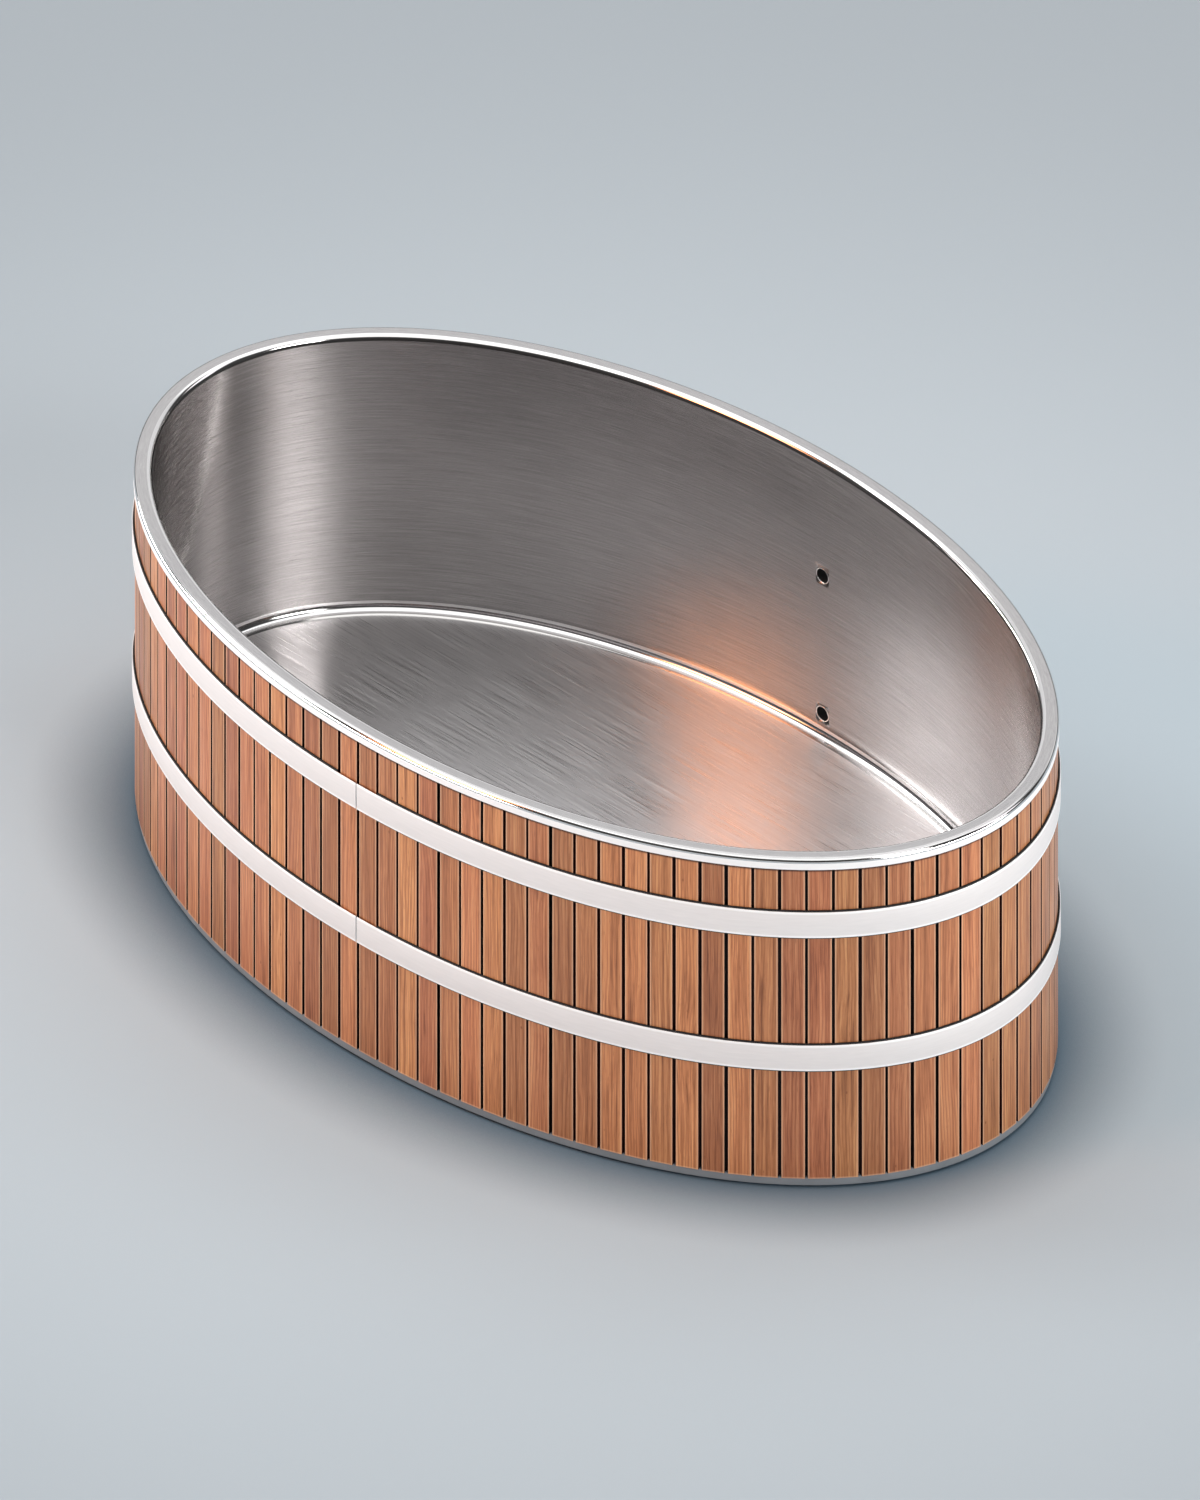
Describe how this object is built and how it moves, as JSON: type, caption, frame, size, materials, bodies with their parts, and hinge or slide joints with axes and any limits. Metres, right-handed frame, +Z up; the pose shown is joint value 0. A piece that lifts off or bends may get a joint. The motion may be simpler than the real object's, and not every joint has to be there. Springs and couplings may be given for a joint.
{
  "type": "timber-clad bathtub",
  "caption": "Free-standing oval bathtub: brushed steel liner and folded rim, clad in upright timber staves held by steel hoops, on a plinth and hidden feet.",
  "frame": {"origin": "on the floor under the middle of the oval", "axes": "+X along the tub, +Y to the long side with the ports, +Z up"},
  "size_m": [1.809, 1.095, 0.65],
  "materials": {
    "timber": "oiled, fine upright grain",
    "liner_steel": "brushed",
    "rim_steel": "satin",
    "hoop_steel": "satin",
    "plinth_paint": "satin paint",
    "strip_rubber": "matt",
    "packing_foam": "matt",
    "insulation_foam": "matt",
    "deck_ply": "sealed plywood",
    "base_steel": "mill",
    "foot_nylon": "matt"
  },
  "bodies": {
    "tub": {"base_deck": "deck_ply", "bearer_end_caps": "foot_nylon", "bearer_left": "base_steel", "bearer_middle": "base_steel", "bearer_right": "base_steel", "deck_screws": "base_steel", "insulation_board": "insulation_foam", "liner_cove": "liner_steel", "liner_floor": "liner_steel", "liner_wall_back": "liner_steel", "liner_wall_front": "liner_steel", "liner_wall_left": "liner_steel", "liner_wall_right": "liner_steel", "lower_hoop": "hoop_steel", "lower_hoop_splice": "hoop_steel", "lower_hoop_strip": "strip_rubber", "lower_packing_band": "packing_foam", "plinth_ring": "plinth_paint", "port_sleeve_lower": "rim_steel", "port_sleeve_upper": "rim_steel", "rim_cap": "rim_steel", "staves_01": "timber", "staves_02": "timber", "staves_03": "timber", "staves_04": "timber", "staves_05": "timber", "staves_06": "timber", "staves_07": "timber", "staves_08": "timber", "staves_09": "timber", "staves_10": "timber", "staves_11": "timber", "staves_12": "timber", "staves_13": "timber", "staves_14": "timber", "staves_15": "timber", "staves_16": "timber", "staves_17": "timber", "staves_18": "timber", "staves_19": "timber", "staves_20": "timber", "staves_21": "timber", "staves_at_ports": "timber", "upper_hoop": "hoop_steel", "upper_hoop_splice": "hoop_steel", "upper_hoop_strip": "strip_rubber", "upper_packing_band": "packing_foam", "weld_nuts": "base_steel"},
    "foot_front_left": {"foot_pad_front_left": "foot_nylon", "foot_spindle_front_left": "base_steel"},
    "foot_front_middle": {"foot_pad_front_middle": "foot_nylon", "foot_spindle_front_middle": "base_steel"},
    "foot_front_right": {"foot_pad_front_right": "foot_nylon", "foot_spindle_front_right": "base_steel"},
    "foot_back_left": {"foot_pad_back_left": "foot_nylon", "foot_spindle_back_left": "base_steel"},
    "foot_back_middle": {"foot_pad_back_middle": "foot_nylon", "foot_spindle_back_middle": "base_steel"},
    "foot_back_right": {"foot_pad_back_right": "foot_nylon", "foot_spindle_back_right": "base_steel"}
  },
  "joints": [
    {"name": "foot_front_left_screw", "type": "slide", "parent": "tub", "child": "foot_front_left", "axis": [0, 0, -1], "range_m": [-0.005, 0.012]},
    {"name": "foot_front_middle_screw", "type": "slide", "parent": "tub", "child": "foot_front_middle", "axis": [0, 0, -1], "range_m": [-0.005, 0.012]},
    {"name": "foot_front_right_screw", "type": "slide", "parent": "tub", "child": "foot_front_right", "axis": [0, 0, -1], "range_m": [-0.005, 0.012]},
    {"name": "foot_back_left_screw", "type": "slide", "parent": "tub", "child": "foot_back_left", "axis": [0, 0, -1], "range_m": [-0.005, 0.012]},
    {"name": "foot_back_middle_screw", "type": "slide", "parent": "tub", "child": "foot_back_middle", "axis": [0, 0, -1], "range_m": [-0.005, 0.012]},
    {"name": "foot_back_right_screw", "type": "slide", "parent": "tub", "child": "foot_back_right", "axis": [0, 0, -1], "range_m": [-0.005, 0.012]}
  ]
}
